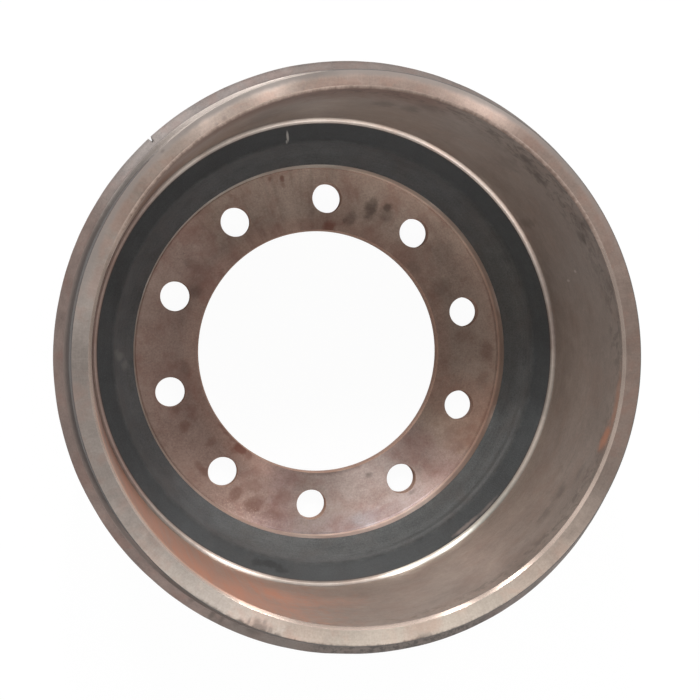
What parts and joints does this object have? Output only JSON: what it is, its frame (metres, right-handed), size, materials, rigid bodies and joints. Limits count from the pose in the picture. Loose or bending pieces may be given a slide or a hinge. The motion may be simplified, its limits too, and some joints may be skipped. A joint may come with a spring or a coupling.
{
  "type": "brake drum",
  "caption": "Heavy-truck brake drum: wide turned friction bore, stepped cast neck, drilled flange with a pilot bore, stiffening ring behind the mouth.",
  "frame": {"origin": "centre of the mounting flange's outer face, at the foot of the drum", "axes": "+Z along the axle axis, out of the open mouth; +Y through a bolt hole"},
  "size_m": [0.4802, 0.4802, 0.2666],
  "materials": {
    "drum_iron": "turned bare iron with light rust; neck and outside dark as cast"
  },
  "bodies": {
    "root": {"brake_drum": "drum_iron"}
  },
  "joints": []
}
